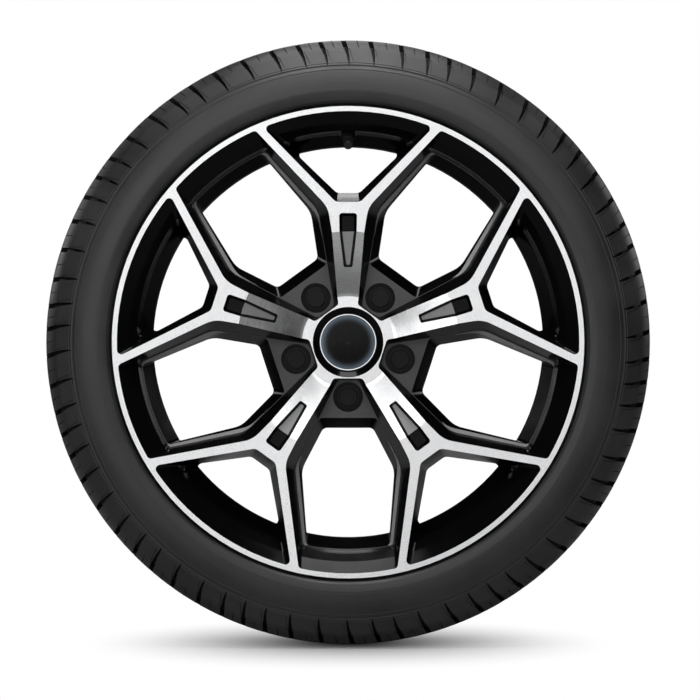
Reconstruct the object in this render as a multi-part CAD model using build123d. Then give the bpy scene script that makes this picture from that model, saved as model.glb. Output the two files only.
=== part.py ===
from build123d import *
import math
import os

# Car wheel with its tyre. Millimetres and degrees.
# Everything is drawn with the spin axis on Z, the street side up and the first spoke along +Y,
# and is turned at the end: spin axis on Y, street face towards -Y, first spoke towards +Z.
# The origin is on the spin axis, midway between the two rim flanges.

# Rim
bead_seat_diameter = 457.2
rim_width = 203.2
flange_height = 17.3
flange_depth = 10.9
flange_edge_radius = 4.5
lip_ring_width = 6.0
lip_edge_chamfer = 1.0
bead_seat_width = 18.6
bead_seat_drop = 1.6
hump_height = 2.1
hump_width = 7.0
well_drop = 18.1
well_wall_run = 14.0
well_width = 36.0
well_inner_run = 30.0
barrel_drop = 6.0
barrel_wall = 4.8
bead_wall = 6.2
flange_wall = 6.4

# Rim seen through the windows: four steps from the lip ring down to the well
lip_slope_depth = 8.0
lip_slope_fall = 12.1
seat_slope_depth = 7.5
seat_slope_fall = 7.8
seat_step_depth = 22.5
seat_step_fall = 3.4

# Turned face
face_fall = 2.5
crease_radius = 115.0
hub_ring_radius = 48.0
hub_ring_drop = 19.0

# Hub
wheel_offset = 45.0
bolt_circle = 114.3
hub_bore_diameter = 60.1
hub_bore_depth = 17.0
hub_bore_chamfer = 1.5
pad_radius = 75.0
pad_step = 5.0
web_thickness = 54.5

# Spokes, on the turned face and at the back
spoke_count = 5
stem_hub_radius = 46.0
stem_hub_width = 21.8
stem_hub_back_width = 44.0
fork_radius = 140.9
fork_width = 42.0
fork_back_radius = 135.7
fork_back_width = 74.5
fork_corner_radius = 28.0
arm_outer_angle = 23.64
arm_outer_back_angle = 23.7
arm_inner_angle = 21.67
arm_inner_back_angle = 15.5
arm_facet_start = 0.61
arm_facet_end = 0.87
arm_facet_depth = 3.5
crotch_radius = 145.1
crotch_width = 25.7
crotch_back_radius = 156.2
crotch_back_width = 23.8
crotch_corner_radius = 8.0
window_lip_radius = 4.5
window_hub_corner_radius = 7.0
window_ledge = 0.4
window_runout = 0.6
cut_overrun = 1.5
back_overrun = 17.0

# Slot in the face of each spoke
slot_inner_radius = 78.0
slot_outer_radius = 134.0
slot_inner_width = 9.0
slot_outer_width = 18.5
slot_depth = 6.5
slot_draft = 0.45
slot_corner_radius = 3.6
slot_floor_corner_radius = 1.0

# Nut pockets between the spokes
pocket_drop = 34.5
pocket_inner_radius = 37.6
pocket_draft = 0.13
pocket_corner_radius = 4.8
pocket_floor_radius = 79.0
pocket_window_radius = 87.0
nut_hole_diameter = 31.3
nut_seat_height = 17.0
nut_seat_radius = 11.5
stud_hole_diameter = 14.5
nut_seat_half_angle = 30.0

# Relief pockets in the back of the hub and of the spokes
hub_relief_inner_radius = 40.0
hub_relief_outer_radius = 70.0
hub_relief_width = 18.0
hub_relief_depth = 20.0
spoke_relief_inner_radius = 86.0
spoke_relief_outer_radius = 128.0
spoke_relief_width = 30.0
spoke_relief_depth = 22.0
spoke_relief_draft = 5.0
relief_corner_radius = 5.0

# Centre cap seat in the front of the hub
cap_recess_radius = 36.75
cap_bevel_radius = 30.3
cap_bevel_depth = 4.9
cap_seat_depth = 2.0
cap_bore_radius = 27.0
cap_bore_length = 14.6
cap_undercut = 1.6

# Centre cap
cap_clearance = 0.3
cap_flange_thickness = 2.8
cap_dish_depth = 1.4
cap_rim_width = 0.75
cap_ring_width = 0.85
cap_ring_height = 0.5
cap_dome_gap = 0.15
cap_dome_rise = 2.6
cap_dome_edge = 1.2
cap_leg_count = 6
cap_leg_thickness = 2.0
cap_leg_angle = 30.0
cap_leg_drop = 4.2
cap_barb = 1.1
cap_wire_diameter = 2.0
cap_wire_groove = 0.6
cap_wire_clearance = 0.05

# Nuts and their round covers
nut_clearance = 0.05
nut_across_flats = 17.0
nut_corner_radius = 9.2
nut_hex_height = 12.3
nut_thread_bore = 10.4
nut_crown = 2.4
nut_seat_lift = 0.4
nut_collar = 1.0
cover_clearance = 0.1
cover_radius = 10.15
cover_face = 1.5
cover_skirt_gap = 1.5
cover_edge = 0.8

# Tyre
tyre_radius = 318.6
tyre_half_width = 115.0
tyre_clearance = 0.3
tread_half_width = 75.0
tread_fall = 3.1
shoulder_drop = 15.1
shoulder_half_width = 100.0
shoulder_mid_rise = 7.5
shoulder_mid_width = 90.0
buttress_drop = 27.1
buttress_half_width = 106.0
widest_share = 0.26799
protector_radius = 251.2
protector_half_width = 113.2
protector_gap = 2.4
tread_thickness = 15.6
sidewall_thickness = 10.0
bead_toe_width = 17.0
bead_height = 12.0
liner_inset = 12.0
main_groove_places = (18.0, 52.0)
main_groove_width = 9.0
main_groove_depth = 7.6
side_groove_share = 0.90074
side_groove_width = 1.8
side_groove_depth = 1.1
side_line_shares = (0.96774, 0.78908, 0.2134)
side_line_width = 0.9
side_line_depth = 0.5

# Lateral grooves across each shoulder, in three pitches that repeat around the tyre
lateral_groove_pitches = (0.86, 0.86, 1.0, 1.14, 1.14, 1.0, 0.86, 1.0, 1.14, 1.0)
lateral_groove_repeats = 7
lateral_groove_width = 5.0
lateral_groove_end_width = 1.0
lateral_groove_depth = 7.6
lateral_groove_end_depth = 1.4
lateral_groove_lean = 8.6
lateral_groove_bend = 82.0
lateral_groove_knee_drop = 12.6
lateral_groove_end_drop = 20.1

# Places on the tyre's side, measured down from the tread or up from the rim protector
shoulder_radius = tyre_radius - shoulder_drop
buttress_radius = tyre_radius - buttress_drop
lateral_groove_knee = tyre_radius - lateral_groove_knee_drop
lateral_groove_end = tyre_radius - lateral_groove_end_drop
side_height = buttress_radius - protector_radius
widest_radius = protector_radius + widest_share * side_height
side_groove_radius = protector_radius + side_groove_share * side_height
side_line_radii = [protector_radius + share * side_height for share in side_line_shares]

# Tyre valve, on the first spoke's line in the outer wall of the well
valve_tilt = 30.0
valve_wall_place = 220.0
valve_seat_sink = 1.5
valve_hole_diameter = 11.5
valve_hole_clearance = 0.1
valve_rim_thickness = 4.2
valve_boss_radius = 8.7
valve_flange_radius = 8.2
valve_flange_length = 5.5
valve_flange_taper = 2.0
valve_lip_radius = 7.3
valve_lip_length = 2.6
valve_rubber_end = 17.0
valve_rubber_end_radius = 5.2
valve_rubber_clearance = 0.05
valve_stem_radius = 3.2
valve_stem_head_radius = 4.6
valve_stem_head_length = 1.6
valve_stem_head_cover = 1.4
valve_tip_radius = 3.85
valve_tip_length = 9.7
valve_tip_chamfer = 0.5
valve_bore_radius = 1.5
core_bore_radius = 2.25
core_bore_bottom = 5.0
core_thread_radius = 2.65
core_thread_length = 6.4
core_seat_run = 1.2

# Valve core and its pin
core_clearance = 0.05
core_recess = 1.0
core_plug_length = 4.6
core_tube_radius = 2.1
core_tube_bore = 1.65
core_tube_bottom = 12.0
core_lip = 0.8
core_lip_bore = 1.0
core_plug_bore = 1.3
core_roof_drop = 0.2
core_pin_radius = 0.6
core_pin_recess = 0.5
core_collar_radius = 1.5
core_collar_length = 0.7
core_collar_gap = 0.3
pin_seal_radius = 1.75
pin_seal_length = 1.5
pin_seal_gap = 0.05
pin_foot = 0.6
pin_foot_radius = 1.2
spring_wire_radius = 0.16
spring_radius = 1.15
spring_turns = 6
spring_end_gap = 0.05
core_seal_length = 0.7

# Valve cap
valve_cap_radius = 4.8
valve_cap_clearance = 0.1
valve_cap_grip = 6.6
valve_cap_roof = 1.6
valve_cap_seal_thickness = 0.9
valve_cap_seal_gap = 0.1
valve_cap_seal_hole = 1.4
valve_cap_seal_clearance = 0.1
valve_cap_flutes = 16
valve_cap_flute_radius = 0.55
valve_cap_flute_sink = 0.25
valve_cap_edge = 0.6

# Sizes that follow from those above
bead_radius = bead_seat_diameter / 2
lip_radius = bead_radius + flange_height
lip_inner_radius = lip_radius - lip_ring_width
flange_z = rim_width / 2
lip_z = flange_z + flange_depth
hub_face_z = lip_z - hub_ring_drop
crease_z = lip_z - face_fall
well_radius = bead_radius - well_drop
barrel_inner_radius = well_radius - barrel_wall
back_z = lip_z - web_thickness
pocket_z = lip_z - pocket_drop
cap_seat_z = hub_face_z - cap_bevel_depth - cap_seat_depth
cap_bore_z = cap_seat_z - cap_bore_length
hub_bore_top_z = wheel_offset + hub_bore_depth
hub_bore_radius = hub_bore_diameter / 2
nut_seat_z = wheel_offset + nut_seat_height
stud_hole_radius = stud_hole_diameter / 2
half_pitch = 180 / spoke_count
stand_up = Rotation(90, 0, 0)


def turned(points):
    """Solid of revolution about Z from (radius, height) points."""
    outline = Polyline([(r, 0, z) for r, z in points], close=True)
    return revolve(make_face(outline), Axis.Z)


def ring(inner_radius, outer_radius, low_z, high_z):
    """Ring or round bar about Z."""
    return turned(
        [(inner_radius, low_z), (outer_radius, low_z), (outer_radius, high_z), (inner_radius, high_z)]
    )


def at_pitch(shape, first_angle=0.0):
    """Copies of a shape around the spin axis, one for each spoke."""
    turns = (first_angle + k * 360 / spoke_count for k in range(spoke_count))
    return [Rotation(0, 0, turn) * shape for turn in turns]


def face_z(radius):
    """Height of the turned face at a radius."""
    if radius <= hub_ring_radius:
        return hub_face_z
    if radius <= crease_radius:
        share = (radius - hub_ring_radius) / (crease_radius - hub_ring_radius)
        return hub_face_z + share * (crease_z - hub_face_z)
    share = (radius - crease_radius) / (lip_radius - lip_edge_chamfer - crease_radius)
    return crease_z + share * (lip_z - crease_z)


def between(start, end, share):
    """Point that divides the line from start to end."""
    return start + (end - start) * share


def polar(radius, angle):
    """Point at an angle to the right of the +Y axis."""
    return Vector(radius * math.sin(math.radians(angle)), radius * math.cos(math.radians(angle)))


def crossing(a, b, c, d):
    """Point where line ab meets line cd."""
    ab = b - a
    cd = d - c
    share = ((c.X - a.X) * cd.Y - (c.Y - a.Y) * cd.X) / (ab.X * cd.Y - ab.Y * cd.X)
    return a + ab * share


def corner_arc(before, corner, after, radius):
    """Start, middle and end of the arc that rounds a corner between two straight sides."""
    to_before = (before - corner).normalized()
    to_after = (after - corner).normalized()
    half = math.acos(to_before.dot(to_after)) / 2
    inward = (to_before + to_after).normalized()
    centre = corner + inward * (radius / math.sin(half))
    reach = radius / math.tan(half)
    return corner + to_before * reach, centre - inward * radius, corner + to_after * reach


def lip_arc(inside, corner, arc_radius, radius):
    """Start, middle and end of the arc between a straight side and the round outer side."""
    along = (corner - inside).normalized()
    inward = Vector(-along.Y, along.X)
    if inward.X * corner.X > 0:
        inward = inward * -1
    base = inside + inward * radius
    shift = base.dot(along)
    reach = math.sqrt(shift**2 - base.dot(base) + (arc_radius - radius) ** 2) - shift
    centre = base + along * reach
    start = centre - inward * radius
    end = centre * (arc_radius / (arc_radius - radius))
    middle = centre + ((start - centre) + (end - centre)).normalized() * radius
    return start, middle, end


def mirrored(points):
    """The same points on the other side of the Y axis, in reverse order."""
    return [Vector(-p.X, p.Y) for p in reversed(points)]


def window_wire(corners, radii, arc_radius, z):
    """Closed outline of a window at one height.

    corners run down the right side, from the round outer side to the hub side.
    """
    arcs = [lip_arc(corners[1], corners[0], arc_radius, radii[0])[::-1]]
    for k in range(1, len(corners)):
        after = corners[k + 1] if k + 1 < len(corners) else Vector(-corners[k].X, corners[k].Y)
        arcs.append(corner_arc(corners[k - 1], corners[k], after, radii[k]))
    arcs += [mirrored(arc) for arc in reversed(arcs)]
    lifted = [[Vector(p.X, p.Y, z) for p in arc] for arc in arcs]
    edges = []
    for k, arc in enumerate(lifted):
        edges.append(Edge.make_three_point_arc(*arc))
        if k + 1 < len(lifted):
            edges.append(Edge.make_line(arc[2], lifted[k + 1][0]))
    top = Vector(0, arc_radius, z)
    edges.append(Edge.make_three_point_arc(lifted[-1][2], top, lifted[0][0]))
    return Wire(edges)


def steps(z, levels, values):
    """Value at a height, on straight runs between the given levels and past both ends."""
    last = len(levels) - 2
    k = next((n for n in range(last + 1) if z >= levels[n + 1]), last)
    share = (levels[k] - z) / (levels[k] - levels[k + 1])
    return values[k] + share * (values[k + 1] - values[k])


# Heights of the rim's steps behind the lip, and of the two creases along each arm's flank
lip_slope_z = lip_z - lip_slope_depth
seat_slope_z = lip_slope_z - seat_slope_depth
seat_step_z = seat_slope_z - seat_step_depth
facet_z = pocket_z - arm_facet_depth
lip_slope_radius = lip_inner_radius - lip_slope_fall
seat_slope_radius = lip_slope_radius - seat_slope_fall
seat_step_radius = seat_slope_radius - seat_step_fall
rim_levels = (lip_z, lip_slope_z, seat_slope_z, seat_step_z, back_z)
rim_radii = (
    lip_inner_radius,
    lip_slope_radius,
    seat_slope_radius,
    seat_step_radius,
    barrel_inner_radius + window_runout,
)
flank_levels = (lip_z, pocket_z, facet_z, back_z)
flank_shares = (0.0, arm_facet_start, arm_facet_end, 1.0)


def stem_edge(radius, width, back_width, z):
    """Point on the side of a spoke's stem at a height."""
    top = face_z(radius)
    half = (width + (back_width - width) * (top - z) / (top - back_z)) / 2
    return Vector(half, radius)


def in_window(point):
    """Place a point beside a spoke in the frame of the large window to the spoke's left."""
    turn = math.radians(half_pitch)
    across = point.Y * math.sin(turn) - point.X * math.cos(turn)
    along = point.Y * math.cos(turn) + point.X * math.sin(turn)
    return Vector(across, along)


def large_window_wire(z, hub_side, hub_corner_radius, ledge):
    """Outline of the window between two spokes at a height."""
    share = steps(z, flank_levels, flank_shares)
    arc_radius = steps(z, rim_levels, rim_radii) - ledge
    fork = Vector(fork_width / 2, fork_radius)
    fork_back = Vector(fork_back_width / 2, fork_back_radius)
    tip = polar(lip_inner_radius, arm_outer_angle)
    tip_back = polar(barrel_inner_radius, arm_outer_back_angle)
    stem_slope = (fork_back_width - stem_hub_back_width) / (fork_back_radius - stem_hub_radius)
    stem_back = stem_hub_back_width + stem_slope * (fork_radius - stem_hub_radius)
    inset = Vector(ledge, 0)
    stem_low = in_window(stem_edge(stem_hub_radius, stem_hub_width, stem_hub_back_width, z) + inset)
    stem_high = in_window(stem_edge(fork_radius, fork_width, stem_back, z) + inset)
    arm_low = in_window(between(fork, fork_back, share) + inset)
    arm_high = in_window(between(tip, tip_back, share) + inset)
    hub = Vector(0, hub_side)
    hub_right = Vector(1, hub_side)
    corners = [
        arm_high,
        crossing(stem_low, stem_high, arm_low, arm_high),
        crossing(stem_low, stem_high, hub, hub_right),
    ]
    return window_wire(corners, (window_lip_radius, fork_corner_radius, hub_corner_radius), arc_radius, z)


def small_window_wire(z):
    """Outline of the window in the fork of a spoke at a height."""
    share = (lip_z - z) / web_thickness
    arc_radius = steps(z, rim_levels, rim_radii)
    tip = polar(lip_inner_radius, arm_inner_angle)
    tip_back = polar(barrel_inner_radius, arm_inner_back_angle)
    crotch = Vector(crotch_width / 2, crotch_radius)
    crotch_back = Vector(crotch_back_width / 2, crotch_back_radius)
    corners = [between(tip, tip_back, share), between(crotch, crotch_back, share)]
    return window_wire(corners, (window_lip_radius, crotch_corner_radius), arc_radius, z)


def large_window():
    """Cut between two spokes: a pocket over the nut hole, then a window through the wheel."""
    top_z = lip_z + cut_overrun
    bottom_z = back_z - back_overrun
    pocket_levels = (top_z, lip_slope_z, seat_slope_z, pocket_z)
    pocket_wires = []
    for z in pocket_levels:
        hub_side = pocket_inner_radius + pocket_draft * (hub_face_z - z)
        pocket_wires.append(large_window_wire(z, hub_side, pocket_corner_radius, 0.0))
    through_levels = (pocket_z, seat_step_z, back_z, bottom_z)
    through_wires = []
    for z in through_levels:
        share = (pocket_z - z) / (pocket_z - back_z)
        hub_side = pocket_floor_radius + share * (pocket_window_radius - pocket_floor_radius)
        through_wires.append(large_window_wire(z, hub_side, window_hub_corner_radius, window_ledge))
    lid = through_wires[0].moved(Location((0, 0, cut_overrun)))
    pocket = Solid.make_loft(pocket_wires, ruled=True)
    through = Solid.make_loft([lid] + through_wires, ruled=True)
    return pocket, through


def small_window():
    """Cut through the fork of a spoke."""
    levels = (lip_z + cut_overrun, lip_slope_z, seat_slope_z, seat_step_z, back_z, back_z - back_overrun)
    return Solid.make_loft([small_window_wire(z) for z in levels], ruled=True)


def rounded_wire(corners, radii, z):
    """Closed outline with straight sides and rounded corners at one height, mirrored about Y."""
    around = list(corners) + mirrored(list(corners))
    rounding = list(radii) + list(reversed(radii))
    arcs = []
    for k, corner in enumerate(around):
        after = around[(k + 1) % len(around)]
        arcs.append(corner_arc(around[k - 1], corner, after, rounding[k]))
    lifted = [[Vector(p.X, p.Y, z) for p in arc] for arc in arcs]
    edges = []
    for k, arc in enumerate(lifted):
        edges.append(Edge.make_three_point_arc(*arc))
        edges.append(Edge.make_line(arc[2], lifted[(k + 1) % len(lifted)][0]))
    return Wire(edges)


def face_slot():
    """Slot in the face of a spoke, with drafted walls and a floor that follows the face."""
    top_z = lip_z + cut_overrun
    floor_z = face_z(slot_inner_radius) - slot_depth - cut_overrun / 2
    wires = []
    for z, corner_radius in ((top_z, slot_corner_radius), (floor_z, slot_floor_corner_radius)):
        outer_inset = slot_draft * (face_z(slot_outer_radius) - z)
        inner_inset = slot_draft * (face_z(slot_inner_radius) - z)
        corners = [
            Vector(slot_outer_width / 2 - outer_inset, slot_outer_radius - outer_inset),
            Vector(slot_inner_width / 2 - inner_inset, slot_inner_radius + inner_inset),
        ]
        wires.append(rounded_wire(corners, (corner_radius, corner_radius), z))
    room_inner = hub_ring_radius
    room_outer = slot_outer_radius + slot_depth
    room = turned(
        [
            (room_inner, face_z(room_inner) - slot_depth),
            (crease_radius, crease_z - slot_depth),
            (room_outer, face_z(room_outer) - slot_depth),
            (room_outer, top_z + cut_overrun),
            (room_inner, top_z + cut_overrun),
        ]
    )
    return Solid.make_loft(wires, ruled=True) & room


def nut_hole():
    """Pocket for the nut, its cone seat and the stud hole, on the bolt circle."""
    below_z = wheel_offset - pad_step
    cone_run = (nut_seat_radius - stud_hole_radius) / math.tan(math.radians(nut_seat_half_angle))
    shape = turned(
        [
            (0, below_z),
            (stud_hole_radius, below_z),
            (stud_hole_radius, nut_seat_z - cone_run),
            (nut_seat_radius, nut_seat_z),
            (nut_hole_diameter / 2, nut_seat_z),
            (nut_hole_diameter / 2, pocket_z + cut_overrun),
            (0, pocket_z + cut_overrun),
        ]
    )
    return Pos(0, bolt_circle / 2, 0) * shape


def relief(inner_radius, outer_radius, width, bottom_z, top_z, draft):
    """Tapered pocket in the back of the wheel, along a spoke."""
    wires = []
    for z, inset in ((bottom_z, 0.0), (top_z, draft)):
        half = width / 2 - inset
        corners = [Vector(half, outer_radius - inset), Vector(half, inner_radius + inset)]
        wires.append(rounded_wire(corners, (relief_corner_radius, relief_corner_radius), z))
    return Solid.make_loft(wires, ruled=True)


def wheel_section():
    """(radius, height) outline of the wheel before its windows are cut."""
    seat_end = flange_z - bead_seat_width
    seat_radius = bead_radius - bead_seat_drop
    hump_z = seat_end - hump_width / 2
    hump_radius = seat_radius + hump_height
    wall_z = seat_end - hump_width
    well_z = wall_z - well_wall_run
    well_end = well_z - well_width
    barrel_radius = bead_radius - barrel_drop
    barrel_z = well_end - well_inner_run
    outboard = [
        (lip_radius - lip_edge_chamfer, lip_z),
        (lip_radius, lip_z - lip_edge_chamfer),
        (lip_radius, flange_z + flange_edge_radius),
        (lip_radius - flange_edge_radius, flange_z),
        (bead_radius, flange_z),
        (seat_radius, seat_end),
        (hump_radius, hump_z),
        (seat_radius, wall_z),
        (well_radius, well_z),
        (well_radius, well_end),
    ]
    inboard = [
        (barrel_radius, barrel_z),
        (seat_radius, -wall_z),
        (hump_radius, -hump_z),
        (seat_radius, -seat_end),
        (bead_radius, -flange_z),
        (lip_radius - flange_edge_radius, -flange_z),
        (lip_radius, -flange_z - flange_edge_radius),
        (lip_radius, -lip_z),
        (lip_radius - flange_wall, -lip_z),
        (bead_radius - bead_wall, -flange_z + flange_wall),
        (seat_radius - bead_wall, -wall_z),
        (barrel_radius - barrel_wall, -wall_z + hump_width),
        (barrel_radius - barrel_wall, barrel_z),
        (barrel_inner_radius, well_end),
        (barrel_inner_radius, back_z),
    ]
    hub = [
        (pad_radius + pad_step, wheel_offset + pad_step),
        (pad_radius, wheel_offset),
        (hub_bore_radius + hub_bore_chamfer, wheel_offset),
        (hub_bore_radius, wheel_offset + hub_bore_chamfer),
        (hub_bore_radius, hub_bore_top_z),
        (cap_bore_radius + cap_undercut, hub_bore_top_z),
        (cap_bore_radius + cap_undercut, cap_bore_z),
        (cap_bore_radius, cap_bore_z),
        (cap_bore_radius, cap_seat_z),
        (cap_bevel_radius, cap_seat_z),
        (cap_bevel_radius, cap_seat_z + cap_seat_depth),
        (cap_recess_radius, hub_face_z),
        (hub_ring_radius, hub_face_z),
        (crease_radius, crease_z),
    ]
    return outboard + inboard + hub


def valve_axis_start():
    """(radius, height) of the middle of the valve's seat, on the tyre side of the well's wall."""
    seat_end = flange_z - bead_seat_width
    wall_z = seat_end - hump_width
    wall_radius = bead_radius - bead_seat_drop
    slope = well_wall_run / (wall_radius - well_radius)
    surface_z = wall_z - (wall_radius - valve_wall_place) * slope
    lean = math.radians(valve_tilt)
    return (
        valve_wall_place - valve_seat_sink * math.sin(lean),
        surface_z + valve_seat_sink * math.cos(lean),
    )


def on_valve(shape):
    """Move a shape drawn on the Z axis to the valve's place, tip towards the street."""
    radius, height = valve_axis_start()
    return Pos(0, radius, height) * Rotation(valve_tilt, 0, 0) * shape


def alloy_wheel():
    """Rim, spokes and hub in one casting."""
    blank = turned(wheel_section())
    pocket, through = large_window()
    wheel = blank - at_pitch(pocket, half_pitch)
    wheel = wheel - at_pitch(through, half_pitch)
    wheel = wheel - at_pitch(small_window())
    wheel = wheel - at_pitch(face_slot())
    wheel = wheel - at_pitch(nut_hole(), half_pitch)
    hub_relief = relief(
        hub_relief_inner_radius,
        hub_relief_outer_radius,
        hub_relief_width,
        wheel_offset - pad_step,
        wheel_offset + hub_relief_depth,
        0.0,
    )
    spoke_relief = relief(
        spoke_relief_inner_radius,
        spoke_relief_outer_radius,
        spoke_relief_width,
        wheel_offset,
        wheel_offset + pad_step + spoke_relief_depth,
        spoke_relief_draft,
    )
    wheel = wheel - at_pitch(hub_relief)
    wheel = wheel - at_pitch(spoke_relief)
    wheel = wheel + on_valve(ring(0, valve_boss_radius, 0, valve_rim_thickness))
    street_room = ring(0, valve_boss_radius, valve_rim_thickness, valve_rubber_end)
    tyre_room = ring(0, valve_boss_radius, -valve_flange_length, 0)
    hole = ring(0, valve_hole_diameter / 2, -valve_flange_length, valve_rubber_end)
    for cut in (street_room, tyre_room, hole):
        wheel = wheel - on_valve(cut)
    return wheel


def sidewall_z(radius):
    """Height of the tyre's outer side at a radius between the rim protector and the buttress."""
    if radius >= widest_radius:
        run, fall = buttress_radius - widest_radius, tyre_half_width - buttress_half_width
    else:
        run, fall = widest_radius - protector_radius, tyre_half_width - protector_half_width
    arc = (run**2 + fall**2) / (2 * fall)
    return tyre_half_width - arc + math.sqrt(arc**2 - (radius - widest_radius) ** 2)


def tyre_half_section():
    """Street half of the tyre's section, from the middle of the tread to the bead and back."""

    def point(radius, height):
        return Vector(radius, 0, height)

    corner_share = math.tan(math.radians(22.5)) * tyre_clearance
    crown = point(tyre_radius, 0)
    tread_mid = point(tyre_radius - tread_fall / 4, tread_half_width / 2)
    tread_edge = point(tyre_radius - tread_fall, tread_half_width)
    shoulder_mid = point(shoulder_radius + shoulder_mid_rise, shoulder_mid_width)
    shoulder = point(shoulder_radius, shoulder_half_width)
    buttress = point(buttress_radius, buttress_half_width)
    widest = point(widest_radius, tyre_half_width)
    protector = point(protector_radius, protector_half_width)
    gap_top = point(lip_radius + protector_gap, protector_half_width - protector_gap)
    gap_bottom = point(lip_radius + protector_gap, lip_z - flange_edge_radius)
    flange_top = point(lip_radius + tyre_clearance, flange_z + flange_edge_radius - corner_share)
    flange_side = point(lip_radius - flange_edge_radius + corner_share, flange_z - tyre_clearance)
    heel = point(bead_radius + tyre_clearance, flange_z - tyre_clearance)
    toe_z = flange_z - tyre_clearance - bead_toe_width
    toe_radius = bead_radius + tyre_clearance - bead_seat_drop * (flange_z - toe_z) / bead_seat_width
    toe = point(toe_radius, toe_z)
    bead_top = point(toe_radius + bead_height, toe_z)
    liner_widest = point(widest_radius, tyre_half_width - sidewall_thickness)
    liner_shoulder = point(buttress_radius - liner_inset / 2, buttress_half_width - liner_inset)
    liner_edge = point(tyre_radius - tread_fall - tread_thickness, tread_half_width)
    liner_crown = point(tyre_radius - tread_thickness, 0)
    edges = [
        Edge.make_three_point_arc(crown, tread_mid, tread_edge),
        Edge.make_three_point_arc(tread_edge, shoulder_mid, shoulder),
        Edge.make_line(shoulder, buttress),
        Edge.make_tangent_arc(widest, Vector(1, 0, 0), buttress),
        Edge.make_tangent_arc(widest, Vector(-1, 0, 0), protector),
    ]
    rest = [
        protector,
        gap_top,
        gap_bottom,
        flange_top,
        flange_side,
        heel,
        toe,
        bead_top,
        liner_widest,
        liner_shoulder,
        liner_edge,
        liner_crown,
        crown,
    ]
    edges += [Edge.make_line(a, b) for a, b in zip(rest, rest[1:])]
    return make_face(edges)


def lateral_groove():
    """One groove across the shoulder: it narrows below its knee and ends on the buttress."""
    past = tyre_radius + lateral_groove_depth
    half = lateral_groove_width / 2
    half_end = lateral_groove_end_width / 2
    knee_share = (lateral_groove_knee - lateral_groove_end) / (past - lateral_groove_end)
    knee_lean = lateral_groove_lean * knee_share
    outline = Polyline(
        [
            (half_end, lateral_groove_end, 0),
            (half - knee_lean, lateral_groove_knee, 0),
            (half - lateral_groove_lean, past, 0),
            (-half - lateral_groove_lean, past, 0),
            (-half - knee_lean, lateral_groove_knee, 0),
            (-half_end, lateral_groove_end, 0),
        ],
        close=True,
    )
    blade = extrude(make_face(outline), tyre_half_width)
    floor = tyre_radius - tread_fall - lateral_groove_depth
    start = main_groove_places[-1]
    end_share = (shoulder_radius - lateral_groove_end) / (shoulder_radius - buttress_radius)
    end_z = shoulder_half_width + (buttress_half_width - shoulder_half_width) * end_share
    floor_outline = Polyline(
        [
            (0, floor, start),
            (0, floor, lateral_groove_bend),
            (0, lateral_groove_end, end_z - lateral_groove_end_depth),
            (0, lateral_groove_end, tyre_half_width),
            (0, past, tyre_half_width),
            (0, past, start),
        ],
        close=True,
    )
    room = extrude(make_face(floor_outline), lateral_groove_lean * 2, both=True)
    return blade & room


def lateral_groove_angles():
    """Angles of the shoulder grooves, with the three pitches taken in turn."""
    pitches = lateral_groove_pitches * lateral_groove_repeats
    total = sum(pitches)
    angles = []
    angle = 0.0
    for pitch in pitches:
        angles.append(angle)
        angle += 360 * pitch / total
    return angles


def tyre():
    """Tyre with its tread, two sidewalls and two beads in one moulding."""
    half = revolve(tyre_half_section(), Axis.Z)
    cuts = []
    for place in main_groove_places:
        fall = tread_fall * (place / tread_half_width) ** 2
        floor = tyre_radius - fall - main_groove_depth
        low = place - main_groove_width / 2
        cuts.append(ring(floor, tyre_radius + main_groove_depth, low, low + main_groove_width))
    sides = [(side_groove_radius, side_groove_width, side_groove_depth)]
    sides += [(radius, side_line_width, side_line_depth) for radius in side_line_radii]
    for radius, width, depth in sides:
        low = sidewall_z(radius) - depth
        cuts.append(ring(radius - width / 2, radius + width / 2, low, tyre_half_width + depth))
    half = half - cuts
    groove = lateral_groove()
    half = half - [Rotation(0, 0, angle) * groove for angle in lateral_groove_angles()]
    return half + Rotation(180, 0, 0) * half


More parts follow.
